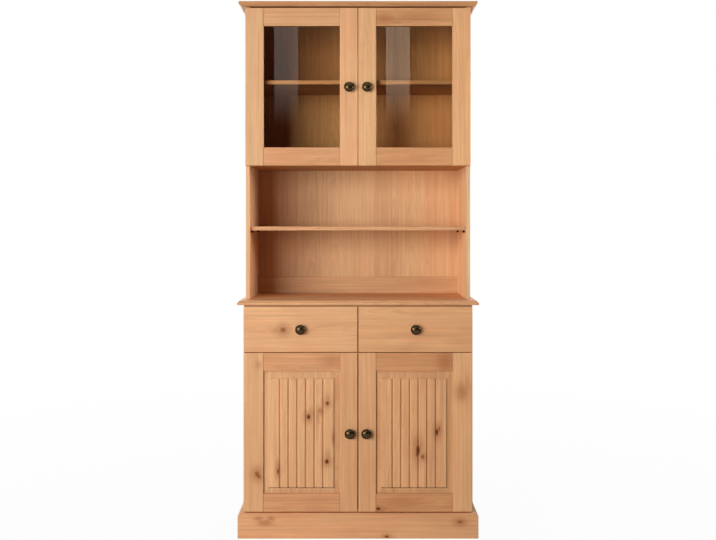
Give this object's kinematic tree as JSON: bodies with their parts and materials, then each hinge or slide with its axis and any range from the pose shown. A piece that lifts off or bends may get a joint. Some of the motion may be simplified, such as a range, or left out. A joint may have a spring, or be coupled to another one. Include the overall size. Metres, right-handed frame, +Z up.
{
  "type": "trastero cabinet",
  "caption": "Tall pine display cabinet: base with panelled doors and drawers under a worktop, and a set-back hutch with an open niche below glazed doors.",
  "frame": {"origin": "on the floor, at the centre of the bounding box", "axes": "+Z up, the front with its doors faces -Y, +X to the right of someone who looks at the front"},
  "size_m": [0.898, 0.4032, 2],
  "materials": {
    "pine": "knotty pine under a clear satin lacquer",
    "thin_panel": "pine-faced thin panel, lacquered",
    "hardwood": "plain beech, waxed",
    "glass": "clear flat glass",
    "steel": "nickel-plated steel",
    "bronze": "antique bronze, dark with burnished highlights"
  },
  "bodies": {
    "cabinet": {"base_back": "thin_panel", "base_bottom": "pine", "base_side_left": "pine", "base_side_right": "pine", "carcass_screws": "steel", "cupboard_shelf": "pine", "display_shelf": "pine", "drawer_deck": "pine", "drawer_divider": "pine", "drawer_runners": "hardwood", "hinge_arms": "steel", "hutch_back": "pine", "hutch_back_rail": "pine", "hutch_deck": "pine", "hutch_dowels": "hardwood", "hutch_side_left": "pine", "hutch_side_right": "pine", "joining_plates": "steel", "niche_shelf": "pine", "plinth_front": "pine", "plinth_sides": "pine", "shelf_pins": "bronze", "top_board": "pine", "worktop": "pine", "worktop_rails": "pine"},
    "drawer_left": {"drawer_left_bottom": "thin_panel", "drawer_left_front": "pine", "drawer_left_knob": "bronze", "drawer_left_walls": "pine"},
    "drawer_right": {"drawer_right_bottom": "thin_panel", "drawer_right_front": "pine", "drawer_right_knob": "bronze", "drawer_right_walls": "pine"},
    "base_door_left": {"base_door_left_hinge_cups": "steel", "base_door_left_knob": "bronze", "base_door_left_panel": "pine", "base_door_left_rails": "pine", "base_door_left_stile_inner": "pine", "base_door_left_stile_outer": "pine"},
    "base_door_right": {"base_door_right_hinge_cups": "steel", "base_door_right_knob": "bronze", "base_door_right_panel": "pine", "base_door_right_rails": "pine", "base_door_right_stile_inner": "pine", "base_door_right_stile_outer": "pine"},
    "hutch_door_left": {"hutch_door_left_glass": "glass", "hutch_door_left_glazing_beads": "pine", "hutch_door_left_hinge_cups": "steel", "hutch_door_left_knob": "bronze", "hutch_door_left_rails": "pine", "hutch_door_left_stile_inner": "pine", "hutch_door_left_stile_outer": "pine"},
    "hutch_door_right": {"hutch_door_right_glass": "glass", "hutch_door_right_glazing_beads": "pine", "hutch_door_right_hinge_cups": "steel", "hutch_door_right_knob": "bronze", "hutch_door_right_rails": "pine", "hutch_door_right_stile_inner": "pine", "hutch_door_right_stile_outer": "pine"}
  },
  "joints": [
    {"name": "drawer_left_slide", "type": "slide", "parent": "cabinet", "child": "drawer_left", "axis": [0, -1, 0], "range_m": [0, 0.25]},
    {"name": "drawer_right_slide", "type": "slide", "parent": "cabinet", "child": "drawer_right", "axis": [0, -1, 0], "range_m": [0, 0.25]},
    {"name": "base_door_left_hinge", "type": "hinge", "parent": "cabinet", "child": "base_door_left", "pos_m": [-0.4168, -0.16815, 0.392], "axis": [0, 0, -1], "range_deg": [0, 95]},
    {"name": "base_door_right_hinge", "type": "hinge", "parent": "cabinet", "child": "base_door_right", "pos_m": [0.4168, -0.16815, 0.392], "axis": [0, 0, 1], "range_deg": [0, 95]},
    {"name": "hutch_door_left_hinge", "type": "hinge", "parent": "cabinet", "child": "hutch_door_left", "pos_m": [-0.4168, -0.11465, 1.6785], "axis": [0, 0, -1], "range_deg": [0, 95]},
    {"name": "hutch_door_right_hinge", "type": "hinge", "parent": "cabinet", "child": "hutch_door_right", "pos_m": [0.4168, -0.11465, 1.6785], "axis": [0, 0, 1], "range_deg": [0, 95]}
  ]
}
